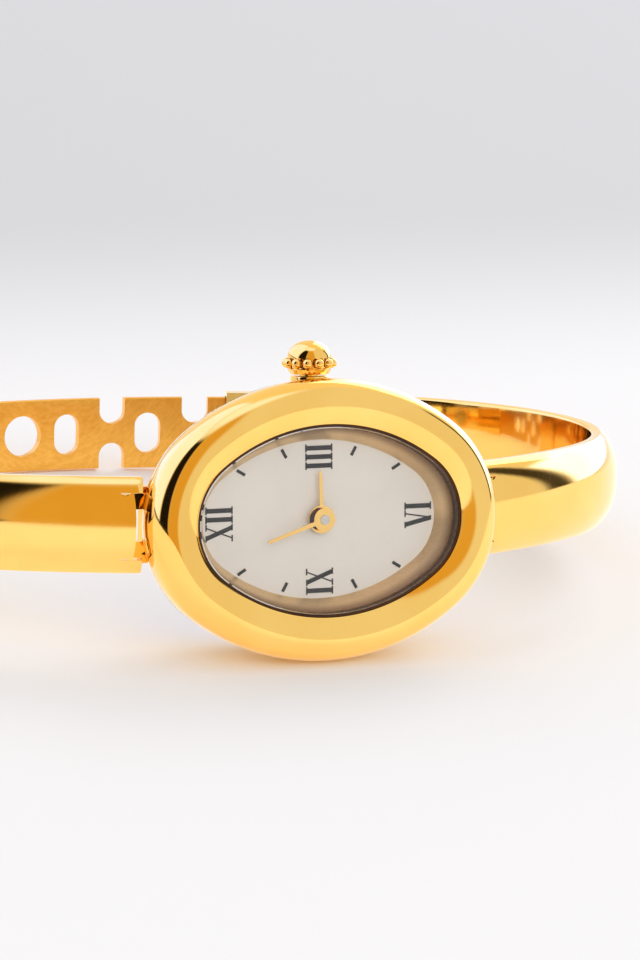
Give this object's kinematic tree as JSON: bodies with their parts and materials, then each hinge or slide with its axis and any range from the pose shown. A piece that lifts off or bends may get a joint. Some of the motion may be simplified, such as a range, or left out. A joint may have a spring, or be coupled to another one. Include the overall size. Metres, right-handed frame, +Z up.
{
  "type": "oval bangle watch",
  "caption": "Small oval quartz wristwatch with a domed polished rim, Roman dial and beaded crown, on a hinged two-arm oval bangle closed by a perforated strip and fold-over clasp.",
  "frame": {"origin": "centre of the box's bottom, on the surface the watch lies on", "axes": "+X towards 6 o'clock, the dial faces -Y and leans back, +Z up, the crown side up"},
  "size_m": [0.0626, 0.0482, 0.0202],
  "materials": {
    "polished_gold": "high-polish gold plate",
    "strip_gold": "fine-brushed gold plate",
    "crystal_glass": "clear mineral glass",
    "brown_gasket": "dark brown sealing ring",
    "flange_beige": "satin champagne gold",
    "dial_white": "fine-grained silvery white lacquer",
    "black_ink": "printed black ink",
    "hand_gold": "polished gold",
    "wheel_brass": "fine-turned brass",
    "steel": "polished steel",
    "plate_steel": "brushed steel",
    "blued_steel": "blued steel",
    "motor_iron": "soft iron",
    "coil_copper": "enamelled copper wire",
    "circuit_green": "solder-masked board",
    "holder_ivory": "moulded plastic",
    "black_rubber": "nitrile rubber"
  },
  "bodies": {
    "case": {"case_body": "polished_gold", "bezel": "polished_gold", "crystal": "crystal_glass", "crystal_gasket": "brown_gasket", "flange_ring": "flange_beige", "dial": "dial_white", "roman_numerals": "black_ink", "hour_ticks": "black_ink", "stator": "motor_iron", "coil": "coil_copper", "circuit_board": "circuit_green", "quartz_can": "plate_steel", "battery": "plate_steel", "battery_clamp": "wheel_brass", "main_plate": "plate_steel", "train_bridge": "plate_steel", "bridge_screws": "blued_steel", "movement_holder": "holder_ivory", "crown_tube": "polished_gold", "case_back": "plate_steel", "back_gasket": "black_rubber", "hinge_pin_12": "steel", "hinge_pin_6": "steel"},
    "arm_12": {"arm_12": "polished_gold", "size_strip": "strip_gold", "strip_rivets": "polished_gold"},
    "arm_6": {"arm_6": "polished_gold", "clasp_channel": "polished_gold", "clasp_rivets": "polished_gold", "clasp_pin": "steel"},
    "clasp_cover": {"clasp_cover": "polished_gold"},
    "stem_slide": {"setting_slide": "blued_steel"},
    "crown": {"crown": "polished_gold", "crown_beads": "polished_gold", "crown_gasket": "black_rubber", "winding_stem": "steel"},
    "minute": {"minute_hand": "hand_gold", "cannon_pinion": "steel", "centre_wheel": "wheel_brass"},
    "hour": {"hour_hand": "hand_gold", "hour_wheel": "wheel_brass"},
    "minute_wheel": {"minute_wheel": "wheel_brass"},
    "third_wheel": {"third_wheel": "wheel_brass"},
    "rotor": {"rotor": "motor_iron"}
  },
  "joints": [
    {"name": "arm_12_hinge", "type": "hinge", "parent": "case", "child": "arm_12", "pos_m": [-0.0131, -0.01853, 0.00867], "axis": [0, 0.1425, 0.9898], "range_deg": [0, 20]},
    {"name": "arm_6_hinge", "type": "hinge", "parent": "case", "child": "arm_6", "pos_m": [0.0131, -0.01853, 0.00867], "axis": [0, -0.1425, -0.9898], "range_deg": [0, 20]},
    {"name": "clasp_cover_hinge", "type": "hinge", "parent": "arm_6", "child": "clasp_cover", "pos_m": [0.0185, 0.01928, 0.00323], "axis": [0, -0.1425, -0.9898], "range_deg": [0, 90]},
    {"name": "crown_pull", "type": "slide", "parent": "case", "child": "stem_slide", "axis": [0, 0.2061, 0.9785], "range_m": [0, 0.0008]},
    {"name": "crown_turn", "type": "hinge", "parent": "stem_slide", "child": "crown", "pos_m": [0, -0.01711, 0.01757], "axis": [0, 0.2061, 0.9785], "continuous": true},
    {"name": "minute_spin", "type": "hinge", "parent": "case", "child": "minute", "pos_m": [0, -0.01995, 0.00897], "axis": [0, 0.9785, -0.2061], "continuous": true},
    {"name": "hour_spin", "type": "hinge", "parent": "case", "child": "hour", "pos_m": [0, -0.01995, 0.00897], "axis": [0, 0.9785, -0.2061], "continuous": true},
    {"name": "minute_wheel_spin", "type": "hinge", "parent": "case", "child": "minute_wheel", "pos_m": [-0.00208, -0.01892, 0.00998], "axis": [0, 0.9785, -0.2061], "continuous": true},
    {"name": "third_wheel_spin", "type": "hinge", "parent": "case", "child": "third_wheel", "pos_m": [-0.00176, -0.01812, 0.00793], "axis": [0, 0.9785, -0.2061], "continuous": true},
    {"name": "rotor_spin", "type": "hinge", "parent": "case", "child": "rotor", "pos_m": [-0.00387, -0.01804, 0.0083], "axis": [0, 0.9785, -0.2061], "continuous": true}
  ],
  "couplings": [
    {"joint": "arm_6_hinge", "follows": "arm_12_hinge", "ratio": 1},
    {"joint": "hour_spin", "follows": "minute_spin", "ratio": 0.083333},
    {"joint": "minute_wheel_spin", "follows": "minute_spin", "ratio": -0.33333},
    {"joint": "third_wheel_spin", "follows": "minute_spin", "ratio": -7.5},
    {"joint": "rotor_spin", "follows": "minute_spin", "ratio": 90}
  ]
}
